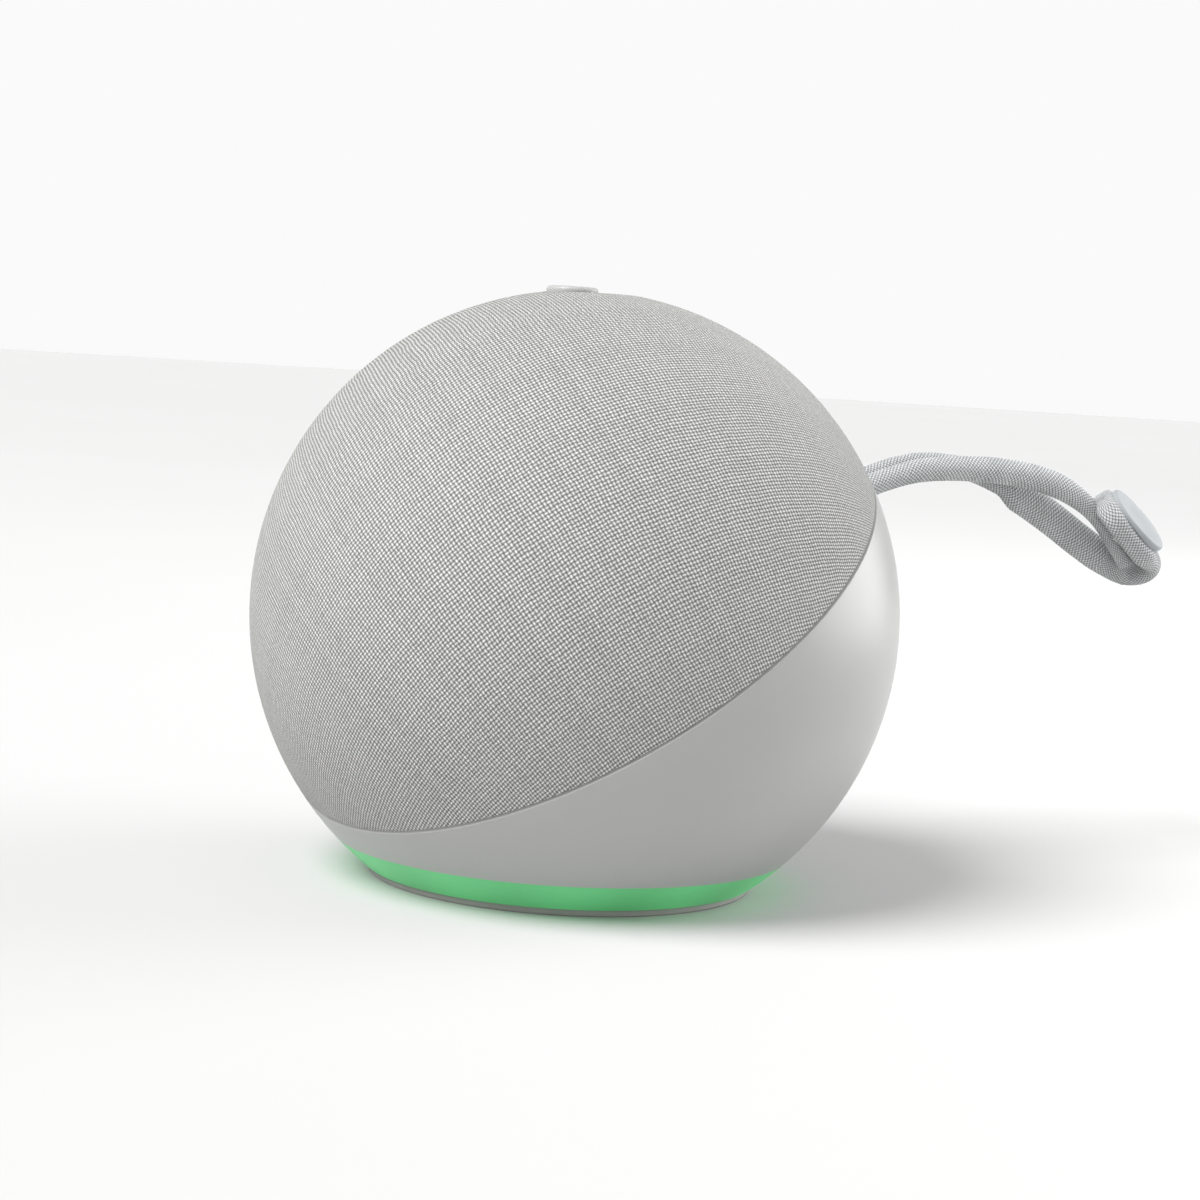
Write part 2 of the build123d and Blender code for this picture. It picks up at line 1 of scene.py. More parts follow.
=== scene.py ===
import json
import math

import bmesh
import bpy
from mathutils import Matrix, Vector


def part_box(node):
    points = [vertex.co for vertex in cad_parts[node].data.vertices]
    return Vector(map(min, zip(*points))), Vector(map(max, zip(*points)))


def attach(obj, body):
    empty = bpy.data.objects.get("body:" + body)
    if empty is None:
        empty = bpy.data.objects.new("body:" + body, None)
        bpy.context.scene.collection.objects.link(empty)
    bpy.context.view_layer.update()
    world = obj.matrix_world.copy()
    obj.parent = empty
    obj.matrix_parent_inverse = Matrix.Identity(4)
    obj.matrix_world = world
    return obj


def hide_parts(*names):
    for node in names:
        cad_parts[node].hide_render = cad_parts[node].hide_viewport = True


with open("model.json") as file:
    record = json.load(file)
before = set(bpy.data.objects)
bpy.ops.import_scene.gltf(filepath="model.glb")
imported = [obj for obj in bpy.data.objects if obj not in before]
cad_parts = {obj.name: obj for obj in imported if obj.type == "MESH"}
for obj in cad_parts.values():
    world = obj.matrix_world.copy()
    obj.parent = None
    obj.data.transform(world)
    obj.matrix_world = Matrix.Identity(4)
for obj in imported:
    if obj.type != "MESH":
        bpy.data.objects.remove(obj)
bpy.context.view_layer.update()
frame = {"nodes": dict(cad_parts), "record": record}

# %% [markdown]
# # A ball-shaped smart speaker
# The real object is a ball with a tilted cloth grille, a satin plastic shell, a lit ring
# over a rubber foot, a crown button and a woven strap that loops out of the back.
# The hard parts arrive as a finished frame. This lesson adds the soft parts (cloth, strap
# legs, folded tab), the finish of every surface, a floor, lights and a camera.

MM = 0.001
low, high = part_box("lower_shell")
ball_radius = (high.x - low.x) / 2 / MM
ball_centre = Vector((0, 0, 40.8))
print("ball radius", round(ball_radius, 2), "mm, nodes in the frame", len(frame["nodes"]))

# %% [markdown]
# ## The camera
# A camera can be placed by typing numbers until it looks right, but an orbit is easier to
# reason about: an angle round the object, an angle above the floor, a distance and a
# small roll. The three axes below are the camera's right, up and backward directions, so
# its rotation is those axes written as the columns of a matrix.

# %% Camera on its orbit
azimuth = math.radians(56.7)
elevation = math.radians(5.86)
roll = math.radians(3.5)
distance = 400.0
right = Vector((math.cos(azimuth), math.sin(azimuth), 0))
back = Vector(
    (
        math.sin(azimuth) * math.cos(elevation),
        -math.cos(azimuth) * math.cos(elevation),
        math.sin(elevation),
    )
)
up = back.cross(right)
camera_right = right * math.cos(roll) + up * math.sin(roll)
camera_up = up * math.cos(roll) - right * math.sin(roll)
turn = Matrix((camera_right, camera_up, back)).transposed().to_4x4()

camera = bpy.data.objects.new("camera", bpy.data.cameras.new("camera"))
bpy.context.scene.collection.objects.link(camera)
camera.matrix_world = Matrix.Translation((ball_centre + back * distance) * MM) @ turn
camera.data.sensor_width = 36.0
camera.data.lens = 77.5
camera.data.shift_x = 0.0212
camera.data.shift_y = 0.01275
camera.data.clip_start = 0.01
bpy.context.scene.camera = camera
print("camera stands at", [round(v, 3) for v in camera.matrix_world.translation])

# %% [markdown]
# ## Colours and nodes
# A picture editor shows sRGB values, while Blender mixes light in linear ones, so a hex
# colour has to be converted once. One small function adds a shader node: its settings are
# either the node's own options or the values of its sockets, and its links say which
# output feeds which socket.

# %% A colour converter and one node helper
def linear(hex_colour):
    """The linear RGBA of an sRGB hex colour."""
    parts = [int(hex_colour[i : i + 2], 16) / 255 for i in (1, 3, 5)]
    split = 0.04045
    mixed = [p / 12.92 if p <= split else ((p + 0.055) / 1.055) ** 2.4 for p in parts]
    return (*mixed, 1.0)


def add(tree, kind, settings=None, links=None):
    """Add a node of a kind, with its settings, and links from outputs to its sockets."""
    made = tree.nodes.new(kind)
    for key, value in (settings or {}).items():
        if isinstance(key, int) or key in made.inputs:
            made.inputs[key].default_value = value
        else:
            setattr(made, key, value)
    for key, output in (links or {}).items():
        tree.links.new(output, made.inputs[key])
    return made


def finish_named(name):
    """A new material with an empty tree, and its Principled shader and output."""
    material = bpy.data.materials.new(name)
    material.use_nodes = True
    tree = material.node_tree
    tree.nodes.clear()
    shader = add(tree, "ShaderNodeBsdfPrincipled")
    add(tree, "ShaderNodeOutputMaterial", links={"Surface": shader.outputs["BSDF"]})
    return material, tree, shader


print("grey card", [round(v, 3) for v in linear("#808080")[:3]])

# %% [markdown]
# ## How a plain weave is drawn
# In a plain weave every thread goes over one crossing thread and under the next. Blender's
# image textures could hold a scan of cloth, but two coordinates that count the threads
# say it all: the whole part names a thread, the fraction is the place across it, and a
# sine along it lifts it over every second crossing. The higher of the two thread families
# is what shows, and where both are low there is a hole. The same sum is written twice,
# as Python for real relief on the strap and as nodes for the finish.

# %% The weave in Python
mid_lift = 0.56  # a thread's height halfway between its crossings
swing = 0.44  # how far it rises and dips from there
mean_height = 0.6  # the average of the whole weave, so relief neither swells nor thins a piece


def weave_height(a, b):
    """Height from 0 to 1 of a plain weave, where a and b count its threads."""
    across_a = math.cos(math.pi * (a - math.floor(a) - 0.5))
    across_b = math.cos(math.pi * (b - math.floor(b) - 0.5))
    over_a = mid_lift + swing * math.sin(math.pi * (b + math.floor(a)))
    over_b = mid_lift + swing * math.sin(math.pi * (a + math.floor(b) + 1))
    return max(across_a * over_a, across_b * over_b)


# %% The weave in nodes
name_gap = 517.3  # keeps the names of the two families apart


def weave_group():
    """A node group with the thread counts A and B in, and the height and thread name out."""
    group = bpy.data.node_groups.new("plain weave", "ShaderNodeTree")
    for name in ("A", "B"):
        group.interface.new_socket(name, in_out="INPUT", socket_type="NodeSocketFloat")
    for name in ("Height", "Thread"):
        group.interface.new_socket(name, in_out="OUTPUT", socket_type="NodeSocketFloat")
    entry = add(group, "NodeGroupInput")

    def math_node(operation, *values):
        made = add(group, "ShaderNodeMath", {"operation": operation})
        for index, value in enumerate(values):
            if isinstance(value, (int, float)):
                made.inputs[index].default_value = value
            else:
                group.links.new(value, made.inputs[index])
        return made.outputs[0]

    def family(own, other, start):
        """Height of one family of threads, and the name of its thread."""
        number = math_node("FLOOR", own)
        place = math_node("SUBTRACT", math_node("FRACT", own), 0.5)
        profile = math_node("COSINE", math_node("MULTIPLY", place, math.pi))
        phase = math_node("ADD", math_node("ADD", other, number), start)
        wave = math_node("SINE", math_node("MULTIPLY", phase, math.pi))
        lift = math_node("MULTIPLY_ADD", wave, swing, mid_lift)
        return math_node("MULTIPLY", profile, lift), number

    height_a, number_a = family(entry.outputs["A"], entry.outputs["B"], 0)
    height_b, number_b = family(entry.outputs["B"], entry.outputs["A"], 1)
    higher = math_node("GREATER_THAN", height_a, height_b)
    name_a = math_node("MULTIPLY", number_a, higher)
    lower = math_node("SUBTRACT", 1, higher)
    name_b = math_node("MULTIPLY", math_node("ADD", number_b, name_gap), lower)
    leave = add(group, "NodeGroupOutput")
    group.links.new(math_node("MAXIMUM", height_a, height_b), leave.inputs["Height"])
    group.links.new(math_node("ADD", name_a, name_b), leave.inputs["Thread"])
    return group


plain_weave = weave_group()
print("plain weave uses", len(plain_weave.nodes), "nodes")

# %% [markdown]
# ## Woven polyester, light grey melange
# The grille cloth and the strap are spun from light and grey fibres, so each thread is a
# slightly different grey and changes along its length. The colour paints the weave's light
# and shade: the crests are painted lighter where light catches them, the holes are painted
# darker for their shade and the dark grille behind them, and the fibres give a faint sheen
# at grazing angles.
# The finish reads a UV map that counts threads, so the same tree serves both cloths.

# %% Woven cloth
def woven(name, hole, shade, crest, thread_mm, melange, sheen):
    """Plain-woven cloth from three colours, for a UV map that counts threads."""
    material, tree, shader = finish_named(name)
    uv = add(tree, "ShaderNodeUVMap", {"uv_map": "threads"})
    # Cloth is never dead straight: a slow wander bends the threads a little
    threads = {"Vector": uv.outputs[0]}
    wander = add(tree, "ShaderNodeTexNoise", {"Scale": 0.11, "Detail": 2.0}, threads)
    centred = add(
        tree,
        "ShaderNodeVectorMath",
        {"operation": "SUBTRACT", 1: (0.5, 0.5, 0.5)},
        {0: wander.outputs["Color"]},
    )
    bent = add(
        tree,
        "ShaderNodeVectorMath",
        {"operation": "SCALE", "Scale": 1.1},
        {0: centred.outputs[0]},
    )
    moved = add(
        tree,
        "ShaderNodeVectorMath",
        {"operation": "ADD"},
        {0: uv.outputs[0], 1: bent.outputs[0]},
    )
    counts = add(tree, "ShaderNodeSeparateXYZ", links={0: moved.outputs[0]})
    weave = add(tree, "ShaderNodeGroup", {"node_tree": plain_weave})
    tree.links.new(counts.outputs["X"], weave.inputs["A"])
    tree.links.new(counts.outputs["Y"], weave.inputs["B"])
    height = weave.outputs["Height"]

    # Painted light and shade: by height the colour runs from a painted shaded hole through the
    # thread to a painted lit crest
    colour = add(tree, "ShaderNodeValToRGB", links={"Fac": height})
    stops = colour.color_ramp.elements
    stops[0].position, stops[0].color = 0.18, linear(hole)
    stops[1].position, stops[1].color = 0.98, linear(crest)
    middle = stops.new(0.6)
    middle.color = linear(shade)

    # Melange: the grey changes from thread to thread and along each one
    per_cell = add(
        tree,
        "ShaderNodeTexNoise",
        {"Scale": 0.9, "Detail": 3.0, "Roughness": 0.7},
        threads,
    )
    per_thread = add(
        tree,
        "ShaderNodeTexWhiteNoise",
        {"noise_dimensions": "1D"},
        {"W": weave.outputs["Thread"]},
    )
    both = add(
        tree,
        "ShaderNodeMath",
        {"operation": "MULTIPLY_ADD", 1: 0.12},
        {0: per_thread.outputs["Value"], 2: per_cell.outputs["Fac"]},
    )
    grey = add(
        tree,
        "ShaderNodeMapRange",
        {"From Min": 0.3, "From Max": 0.82, "To Min": 1 - melange, "To Max": 1 + melange},
        {"Value": both.outputs[0]},
    )
    tinted = add(
        tree,
        "ShaderNodeVectorMath",
        {"operation": "SCALE"},
        {0: colour.outputs["Color"], "Scale": grey.outputs[0]},
    )
    tree.links.new(tinted.outputs[0], shader.inputs["Base Color"])

    # Fibre fuzz is about a tenth of a thread, so its noise runs ten times as fine
    fuzz = add(tree, "ShaderNodeTexNoise", {"Scale": 9.0, "Detail": 2.0}, threads)
    relief = add(
        tree,
        "ShaderNodeMath",
        {"operation": "MULTIPLY_ADD", 1: 0.12},
        {0: fuzz.outputs["Fac"], 2: height},
    )
    bump = add(
        tree,
        "ShaderNodeBump",
        {"Strength": 0.75, "Distance": 0.3 * thread_mm * MM},
        {"Height": relief.outputs[0]},
    )
    tree.links.new(bump.outputs[0], shader.inputs["Normal"])
    shader.inputs["Roughness"].default_value = 0.82
    shader.inputs["Specular IOR Level"].default_value = 0.3
    shader.inputs["Sheen Weight"].default_value = sheen
    shader.inputs["Sheen Roughness"].default_value = 0.5
    return material


grille_thread = 0.59  # mm from thread to thread, which is usual for grille cloth
strap_thread = 0.5
fibre_sheen = 0.1
# Each set has the weave's light and shade painted in: the hole grey is painted shade, the crest
# grey is painted light
grille_lit_and_shaded_greys = ("#5E5E5D", "#979795", "#D3D3D0")  # hole, thread and crest
strap_lit_and_shaded_greys = ("#6C6E6F", "#A6A8A9", "#D5D7D8")
grille_cloth = woven("woven_polyester_melange", *grille_lit_and_shaded_greys, grille_thread, 0.28, fibre_sheen)
strap_cloth = woven("woven_nylon_grey", *strap_lit_and_shaded_greys, strap_thread, 0.14, fibre_sheen)
print("cloths", grille_cloth.name, strap_cloth.name)

# %% [markdown]
# ## Skins over rows of points
# Most soft pieces here are a row of points moved along a path. One helper turns such rows
# into a mesh and writes the UV map at the same time. A UV belongs to a face's corner, not
# to a point, so a tube can end its count of threads and start it again on one line.

# %% The skin helper
def skin(name, rows, uvs, round_too=False, capped=True):
    """A closed-round mesh over rows of points in mm. uvs has one column more than rows."""
    across = len(rows[0])
    count = len(rows)
    faces, corners = [], []
    for i in range(count if round_too else count - 1):
        n = (i + 1) % count
        for j in range(across):
            k = (j + 1) % across
            faces.append((i * across + j, i * across + k, n * across + k, n * across + j))
            corners += [uvs[i][j], uvs[i][j + 1], uvs[n][j + 1], uvs[n][j]]
    if capped and not round_too:
        last = (count - 1) * across
        faces.append(tuple(range(across))[::-1])
        corners += uvs[0][across - 1 :: -1]
        faces.append(tuple(last + j for j in range(across)))
        corners += uvs[-1][:across]
    mesh = bpy.data.meshes.new(name)
    mesh.from_pydata([p * MM for row in rows for p in row], [], faces)
    layer = mesh.uv_layers.new(name="threads")
    for loop, corner in zip(layer.data, corners):
        loop.uv = corner
    work = bmesh.new()
    work.from_mesh(mesh)
    bmesh.ops.recalc_face_normals(work, faces=work.faces)
    work.to_mesh(mesh)
    work.free()
    mesh.shade_smooth()
    piece = bpy.data.objects.new(name, mesh)
    bpy.context.scene.collection.objects.link(piece)
    print(name, len(mesh.vertices), "points,", len(mesh.polygons), "faces")
    return piece


# %% [markdown]
# ## The strap's two legs
# Each leg is a fixed length of cored woven sleeve, stiff enough to stand in its own curve.
# A curve with a bevel would be quick, but it can't carry woven relief or an oval section,
# so a smooth NURBS spline is laid through the route's points first and a mesh tube is
# then built along it. The routes are the frame's points, except that the
# middle of the lower one hangs up to a millimetre further down and the upper one ends two
# millimetres further under the tab.

# %% Routes from the ball's centre, in mm
upper_route = [
    (2.3, 51.52, 20.34),
    (2.3, 60.0, 23.4),
    (2.3, 69.5, 24.9),
    (2.4, 84.0, 24.9),
    (2.4, 96.5, 23.0),
    (2.4, 105.2, 18.9),
    (2.4, 110.8, 13.4),
    (2.2, 115.0, 8.9),
]
lower_route = [
    (-2.3, 51.52, 20.34),
    (-2.3, 60.2, 23.5),
    (-2.3, 69.0, 25.6),
    (-2.4, 79.5, 25.0),
    (-2.4, 89.5, 21.8),
    (-2.4, 99.0, 17.35),
    (-2.4, 108.5, 12.1),
    (-2.2, 115.4, 8.7),
    (-0.9, 118.9, 6.7),
]


# %% A smooth line along a route
def smooth_line(name, route, step):
    """Evenly spaced points, in mm, on the NURBS spline of a route."""
    curve = bpy.data.curves.new(name, "CURVE")
    curve.dimensions = "3D"
    curve.resolution_u = 32
    spline = curve.splines.new("NURBS")
    spline.points.add(len(route) - 1)
    for point, place in zip(spline.points, route):
        point.co = (*((ball_centre + Vector(place)) * MM), 1)
    spline.order_u = 3
    spline.use_endpoint_u = True
    holder = bpy.data.objects.new(name, curve)
    traced = bpy.data.meshes.new_from_object(holder)
    line = [v.co / MM for v in traced.vertices]
    bpy.data.objects.remove(holder)
    bpy.data.meshes.remove(traced)
    total = sum((b - a).length for a, b in zip(line, line[1:]))
    steps = round(total / step)
    spaced, walked, i = [line[0]], 0.0, 0
    for n in range(1, steps):
        goal = n * total / steps
        while walked + (line[i + 1] - line[i]).length < goal:
            walked += (line[i + 1] - line[i]).length
            i += 1
        share = (goal - walked) / (line[i + 1] - line[i]).length
        spaced.append(line[i].lerp(line[i + 1], share))
    spaced.append(line[-1])
    return spaced, total


def ease(x, start, end):
    """0 before start, 1 after end, and a smooth rise between."""
    t = min(max((x - start) / (end - start), 0.0), 1.0)
    return t * t * (3 - 2 * t)


# %% A woven tube along a line
strap_relief = 0.13  # mm from a hole to a crest
tube_columns = 84
leg_step = 0.2
across_x = Vector((1, 0, 0))
girth_place = 36.0  # mm along a leg, where its girth sets the size of its threads


def woven_tube(name, line, half_sizes, threads):
    """A tube with woven relief. half_sizes(s) gives its half width and half height."""
    rows, uvs, walked = [], [], 0.0
    girth = 2 * math.pi * half_sizes(girth_place)[0]
    pitch = girth / threads
    for i, point in enumerate(line):
        ahead = line[min(i + 1, len(line) - 1)] - line[max(i - 1, 0)]
        along = ahead.normalized()
        if i:
            walked += (point - line[i - 1]).length
        side = (across_x - along * across_x.dot(along)).normalized()
        rise = side.cross(along)
        wide, tall = half_sizes(walked)
        row, marks = [], []
        for j in range(tube_columns + 1):
            share = j / tube_columns
            angle = 2 * math.pi * share
            a = threads * share + walked / pitch
            b = threads * share - walked / pitch
            lift = strap_relief * (weave_height(a, b) - mean_height)
            outward = side * math.cos(angle) * (wide + lift)
            outward += rise * math.sin(angle) * (tall + lift)
            row.append(point + outward)
            marks.append((a, b))
        rows.append(row[:-1])
        uvs.append(marks)
    return skin(name, rows, uvs)


def upper_half_sizes(s):
    # Round all along: it swells a little, then thins to go under the tab
    size = 1.85 + 0.35 * ease(s, 5, 34) - 0.9 * ease(s, 44, 63)
    return size, size


def lower_half_sizes(s):
    # Round while it lies behind the upper leg, then a sleeve is sewn over it and makes it
    # an oval that stands on edge. Its end shrinks to go inside the folded tab.
    sleeve = ease(s, 38.0, 42.5)
    end = ease(s, 64.5, 69.5)
    wide = 1.8 + 0.1 * sleeve - 0.4 * end
    tall = 1.85 + 1.2 * sleeve - 0.85 * end
    return wide, tall


upper_threads = 18  # threads of one family round each leg
lower_threads = 16
upper_line, upper_length = smooth_line("upper", upper_route, leg_step)
lower_line, lower_length = smooth_line("lower", lower_route, leg_step)
strap_upper = woven_tube("strap_upper_woven", upper_line, upper_half_sizes, upper_threads)
strap_lower = woven_tube("strap_lower_woven", lower_line, lower_half_sizes, lower_threads)
print("legs", round(upper_length, 1), round(lower_length, 1), "mm")

# %% [markdown]
# ## The folded tab at the strap's tip
# The lower leg turns back at the tip, flattens into a pad and lies on the end of the upper
# leg, where a snap holds it. A flat slab would look like a sticker, so the pad and its
# turn are one skin whose section changes from a broad pad to the leg's oval.

# %% The pad's plane, repeated from the frame's numbers
tab_middle = Vector((4.3, 112.5, 15.6))
tab_fall = math.radians(39.2)
tab_roll = math.radians(37.0)
tab_along = Vector((0, math.cos(tab_fall), -math.sin(tab_fall)))
tab_face = Vector(
    (
        math.sin(tab_roll),
        math.sin(tab_fall) * math.cos(tab_roll),
        math.cos(tab_fall) * math.cos(tab_roll),
    )
)
tab_side = tab_face.cross(tab_along)


def from_tab(along, side, out):
    """A point from the ball's centre, given from the pad's middle."""
    return tab_middle + tab_along * along + tab_side * side + tab_face * out


# %% The tab's skin
tab_route = [
    from_tab(-8.2, 0, -0.5),
    from_tab(-4.0, 0, -0.5),
    from_tab(2.0, 0, -0.5),
    from_tab(6.8, 0, -0.4),
    from_tab(9.5, -0.1, -0.2),
    from_tab(10.4, 0.3, -2.2),
    from_tab(9.8, 1.4, -4.3),
    Vector((-0.9, 117.5, 7.6)),
    Vector((-2.0, 115.4, 8.7)),
    Vector((-2.3, 112.2, 10.3)),
]
tab_line, tab_total = smooth_line("tab", tab_route, leg_step)
tab_columns = 112
tab_threads = 30  # threads of one family round the pad
tab_pitch = 0.72  # mm along the tab for one count of its threads
tab_relief = 0.09
pad_half_width = 4.8
pad_half_thickness = 2.05
pad_rounding = 1.4  # mm of the pad's end over which its thickness grows
leg_axis = Vector((0, 0.5, 0.86))  # the lower leg's oval stands along this


def tab_half_sizes(s):
    """Half width and half thickness: a round-ended pad, a narrower turn, then the leg."""
    pad_end = 1 - min(s / pad_half_width, 1.0)
    pad_edge = 1 - min(s / pad_rounding, 1.0)
    leg_end = 1 - min((tab_total - s) / 1.2, 1.0)
    wide = pad_half_width - 2.0 * ease(s, 12.5, 19.0) + 0.2 * ease(s, 24.0, 29.0)
    thick = pad_half_thickness - 0.35 * ease(s, 13.0, 18.0) + 0.2 * ease(s, 22.0, 28.0)
    wide *= math.sqrt(max(1 - pad_end**2, 0.001)) * (1 - 0.1 * leg_end**2)
    thick *= math.sqrt(max(1 - 0.9 * pad_edge**2, 0.01)) * (1 - 0.12 * leg_end**2)
    return wide, thick


def tab_row(point, along, s):
    """One row of the tab's skin, and its thread counts."""
    turned = ease(s, 14.0, 26.0)
    wide_axis = tab_side.lerp(leg_axis, turned)
    wide_axis = (wide_axis - along * wide_axis.dot(along)).normalized()
    thick_axis = wide_axis.cross(along)
    wide, thick = tab_half_sizes(s)
    # A power under 1 squares the pad's section, and 1 leaves the leg's oval round
    square = 0.5 + 0.5 * ease(s, 13.0, 18.0)
    plain, outward = [], []
    for j in range(tab_columns + 1):
        angle = 2 * math.pi * j / tab_columns
        c, n = math.cos(angle), math.sin(angle)
        flat = wide_axis * math.copysign(abs(c) ** square, c) * wide
        plain.append(point + flat + thick_axis * math.copysign(abs(n) ** square, n) * thick)
        outward.append((wide_axis * c + thick_axis * n).normalized())
    steps = [(q - p).length for p, q in zip(plain, plain[1:])]
    row, marks, round_it = [], [], 0.0
    for j in range(tab_columns + 1):
        share = round_it / sum(steps)
        a = tab_threads * share + s / tab_pitch
        b = tab_threads * share - s / tab_pitch
        row.append(plain[j] + outward[j] * tab_relief * (weave_height(a, b) - mean_height))
        marks.append((a, b))
        if j < tab_columns:
            round_it += steps[j]
    return row[:-1], marks


rows, uvs, walked = [], [], 0.0
for i, point in enumerate(tab_line):
    heading = (tab_line[min(i + 1, len(tab_line) - 1)] - tab_line[max(i - 1, 0)]).normalized()
    if i:
        walked += (point - tab_line[i - 1]).length
    row, marks = tab_row(point, heading, walked)
    rows.append(row)
    uvs.append(marks)
strap_tab = skin("strap_tab_folded", rows, uvs)
print("tab is", round(tab_total, 1), "mm along its middle")

# %% [markdown]
# ## The snap's cap
# The cap is a moulded oval with a rounded rim and a shallow dish for the thumb. It is a
# few outlines of one slot shape, stacked like the contour lines of a map: a straight wall,
# a round shoulder, the rim and then the dish down to the middle.

# %% Contours of the cap
cap_half_length = 7.3
cap_half_width = 4.3
cap_base = 1.3
cap_wall = 1.0
cap_fall = 0.07  # the cap is a wedge: its face leans this much along the pad,
cap_lean = 0.12  # and this much across it
cap_lowest = 0.9  # below this height the wall stands on the pad and doesn't lean fully
cap_columns = 96
dish_rings = 8
shoulder_rings = 5
rim_size = 0.93  # the rim's outline, as a share of the wall's
shoulder = 0.5
dish_depth = 0.8
contours = [(0.98, 0.0), (1.0, 0.15), (1.0, cap_wall)]
for i in range(1, shoulder_rings + 1):
    bend = i / shoulder_rings * math.pi / 2
    size = rim_size + (1 - rim_size) * math.cos(bend)
    contours.append((size, cap_wall + shoulder * math.sin(bend)))
for i in range(1, dish_rings + 1):
    share = i / dish_rings
    sunk = dish_depth * ease(share, 0.05, 0.75)
    contours.append((rim_size * (1 - 0.98 * share), cap_wall + shoulder - sunk))
rows, uvs = [], []
for size, height in contours:
    row = []
    leaning = min(height / cap_lowest, 1.0)
    for j in range(cap_columns):
        angle = 2 * math.pi * j / cap_columns
        squared = math.copysign(abs(math.cos(angle)) ** 0.8, math.cos(angle))
        along = squared * cap_half_length * size
        side = math.sin(angle) * cap_half_width * size
        lean = (cap_fall * along + cap_lean * side) * leaning
        row.append(ball_centre + from_tab(along, side, cap_base + height + lean))
    rows.append(row)
    uvs.append([(j / cap_columns, height) for j in range(cap_columns + 1)])
snap_cap = skin("snap_cap_dished", rows, uvs)

# %% [markdown]
# ## The cloth over the grille
# The cover is one piece of cloth pulled over the upper ball. Its mesh runs from the
# button's hole down to the seam, row by row, so both edges are clean circles. A cloth
# simulation would only find this same tight shape again, so the form is worked out.
# At the seam the cloth turns in over a small radius, which gives the fine dark line there.

# %% Directions on the ball
seam_tilt = math.radians(36.4)
seam_normal = Vector((0, -math.sin(seam_tilt), math.cos(seam_tilt)))
cloth_edge = -1.2  # mm along the seam's normal
crown = 49.55  # height of the ball's flattened top above its centre
button_y = -4.0
hole_radius = 4.35
hole_axis = Vector((0, button_y, crown)).normalized()
hole_y = hole_axis.cross(across_x)


def cloth_arc(angle):
    """The hole's and the seam's angle from the hole's axis, in one direction round it."""
    heading = across_x * math.cos(angle) + hole_y * math.sin(angle)
    a = hole_axis.dot(seam_normal)
    b = heading.dot(seam_normal)
    reach = math.acos(cloth_edge / ball_radius / math.hypot(a, b))
    return heading, math.asin(hole_radius / ball_radius), math.atan2(b, a) + reach


# %% Thread counts over the ball
# The cloth is cut on the bias: the place where its threads cross squarely sits between
# the ball's side and its front
pole_tilt = math.radians(52.7)
pole_side = math.radians(-59.5)
grain_turn = math.radians(23.7)
grain_pole = Vector(
    (
        math.sin(pole_tilt) * math.cos(pole_side),
        math.sin(pole_tilt) * math.sin(pole_side),
        math.cos(pole_tilt),
    )
)
grain_x = (across_x - grain_pole * grain_pole.x).normalized()
grain_y = grain_pole.cross(grain_x)


def thread_counts(direction):
    """Flattens the ball about the middle of the cloth, and counts threads from there."""
    flat = math.acos(max(-1.0, min(1.0, direction.dot(grain_pole))))
    spin = math.atan2(direction.dot(grain_y), direction.dot(grain_x)) + grain_turn
    count = ball_radius * flat / grille_thread
    return count * math.cos(spin), count * math.sin(spin)


# %% The cloth's mesh
cloth_columns = 300
cloth_rows = 120
inner_rows = 24
turn_radius = 0.25
turn_steps = 4
cloth_thickness = 0.75
crown_rise = 0.04  # what is left of the ball's rise above the flat of the crown


def cloth_point(direction, radius, top):
    """A point on the ball, kept under the flat of the crown."""
    place = direction * radius
    over = place.z - top
    if over > 0:
        place.z = top + crown_rise * over
    return ball_centre + place


columns = []
margin = turn_radius / ball_radius
for j in range(cloth_columns + 1):
    heading, inner, outer = cloth_arc(2 * math.pi * j / cloth_columns)
    track = []
    for i in range(cloth_rows + 1):
        angle = inner + margin + (outer - inner - 2 * margin) * i / cloth_rows
        track.append((angle, ball_radius))
    for i in range(1, turn_steps + 1):
        bend = i / turn_steps * math.pi / 2
        angle = outer - margin + margin * math.sin(bend)
        track.append((angle, ball_radius - turn_radius * (1 - math.cos(bend))))
    for i in range(inner_rows + 1):
        angle = outer + (inner - outer) * i / inner_rows
        track.append((angle, ball_radius - cloth_thickness))
    for i in range(1, turn_steps):
        bend = (turn_steps + 1 - i) / turn_steps * math.pi / 2
        angle = inner + 0.3 * margin * (1 - math.cos(bend))
        track.append((angle, ball_radius - turn_radius * (1 - i / turn_steps)))
    column = []
    for angle, radius in track:
        direction = hole_axis * math.cos(angle) + heading * math.sin(angle)
        top = crown - (ball_radius - radius)
        column.append((cloth_point(direction, radius, top), thread_counts(direction)))
    columns.append(column)
rows = [[column[i][0] for column in columns[:-1]] for i in range(len(columns[0]))]
uvs = [[column[i][1] for column in columns] for i in range(len(columns[0]))]
fabric = skin("grille_cloth", rows, uvs, round_too=True)

# %% [markdown]
# ## Moulded plastics and rubbers
# A moulded face copies the steel tool it was made in. A satin tool leaves a fine spark
# texture of about a twentieth of a millimetre, which spreads the highlight, and slow
# changes in wall thickness shift the tone a little. Both are noise in object space, so
# they sit still on the part. ABS and nylon have an IOR near 1.5, and rubber is duller.

